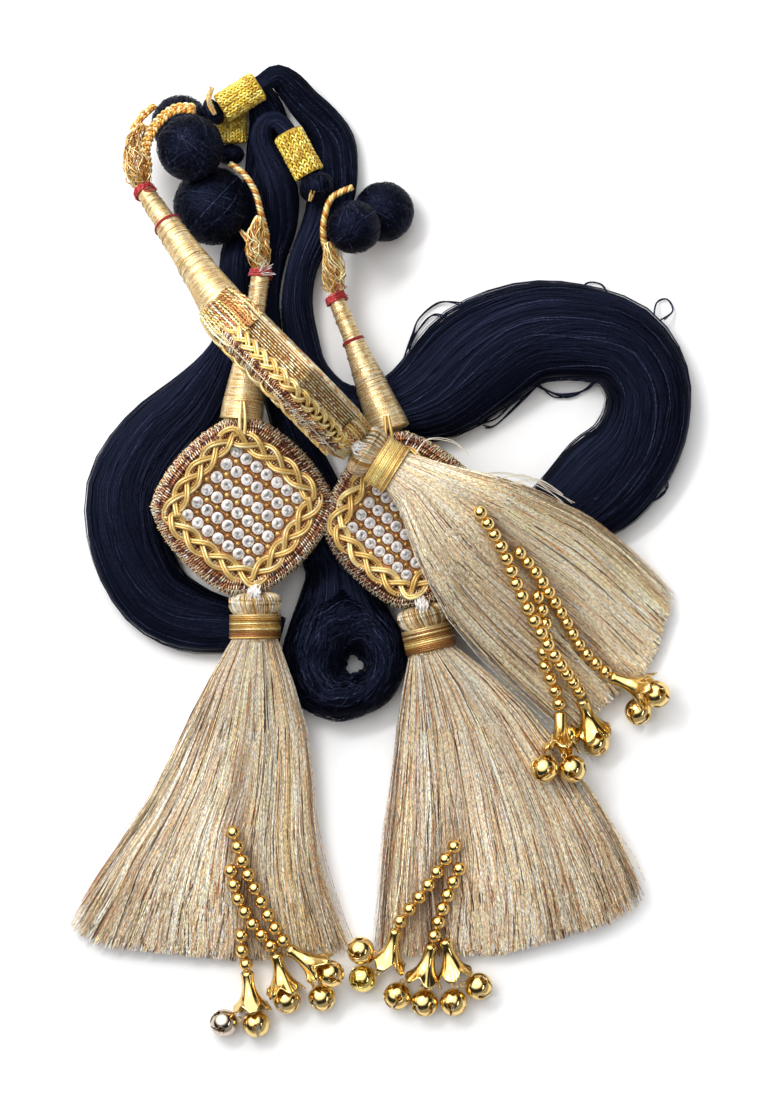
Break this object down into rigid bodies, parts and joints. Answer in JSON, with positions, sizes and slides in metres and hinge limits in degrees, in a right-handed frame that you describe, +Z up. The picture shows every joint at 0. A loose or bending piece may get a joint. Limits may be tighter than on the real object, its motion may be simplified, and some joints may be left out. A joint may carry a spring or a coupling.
{
  "type": "paranda",
  "caption": "Braid tassel with three drops on black thread skeins: wound cones, square stoned medallions, gold tassels, bead strings, flared caps and bells, laid out flat.",
  "frame": {"origin": "centre of the bounding box in plan, on the surface the paranda lies on", "axes": "+Z up from the surface, +Y from the tassels towards the collars, +X from the left drop towards the right one"},
  "size_m": [0.1897, 0.3026, 0.0724],
  "materials": {
    "black_thread": "spun black thread with a slight sheen",
    "knitted_collar": "fine metallic knit",
    "orange_cord": "twisted metallic cord",
    "red_thread": "soft thread",
    "wound_thread": "closely wound metallic thread",
    "medallion_gimp": "metallic gimp over padding",
    "yellow_plait": "three-strand metallic plait",
    "clear_stones": "foiled and faceted",
    "tassel_thread": "fine metallic thread",
    "binding_wire": "wound wire",
    "bead_thread": "fine thread",
    "gold_metal": "polished"
  },
  "bodies": {
    "root": {"skein_a": "black_thread", "skein_b": "black_thread", "skein_c": "black_thread", "hair_knot": "black_thread", "collar_a": "knitted_collar", "collar_b": "knitted_collar", "collar_c": "knitted_collar", "knot_a": "black_thread", "knot_b": "black_thread", "knot_c": "black_thread", "ball_a": "black_thread", "ball_b_upper": "black_thread", "ball_b_lower": "black_thread", "ball_c_upper": "black_thread", "ball_c_lower": "black_thread", "cords_a": "orange_cord", "cords_b": "orange_cord", "cords_c": "orange_cord", "tie_a": "red_thread", "tie_b": "red_thread", "tie_c": "red_thread", "cone_a": "wound_thread", "cone_b": "wound_thread", "cone_c": "wound_thread", "medallion_a": "medallion_gimp", "medallion_b": "medallion_gimp", "medallion_c": "medallion_gimp", "plait_a": "yellow_plait", "plait_b": "yellow_plait", "plait_c": "yellow_plait", "stones_a": "clear_stones", "stones_b": "clear_stones", "stones_c": "clear_stones", "tassel_a": "tassel_thread", "tassel_b": "tassel_thread", "tassel_c": "tassel_thread", "binding_a": "binding_wire", "binding_b": "binding_wire", "binding_c": "binding_wire", "threads_a": "bead_thread", "threads_b": "bead_thread", "threads_c": "bead_thread", "beads_a_1": "gold_metal", "beads_a_2": "gold_metal", "beads_a_3": "gold_metal", "beads_b_1": "gold_metal", "beads_b_2": "gold_metal", "beads_b_3": "gold_metal", "beads_c_1": "gold_metal", "beads_c_2": "gold_metal", "caps_a": "gold_metal", "caps_b": "gold_metal", "caps_c": "gold_metal", "bells_a": "gold_metal", "bells_b": "gold_metal", "bells_c": "gold_metal"}
  },
  "joints": []
}
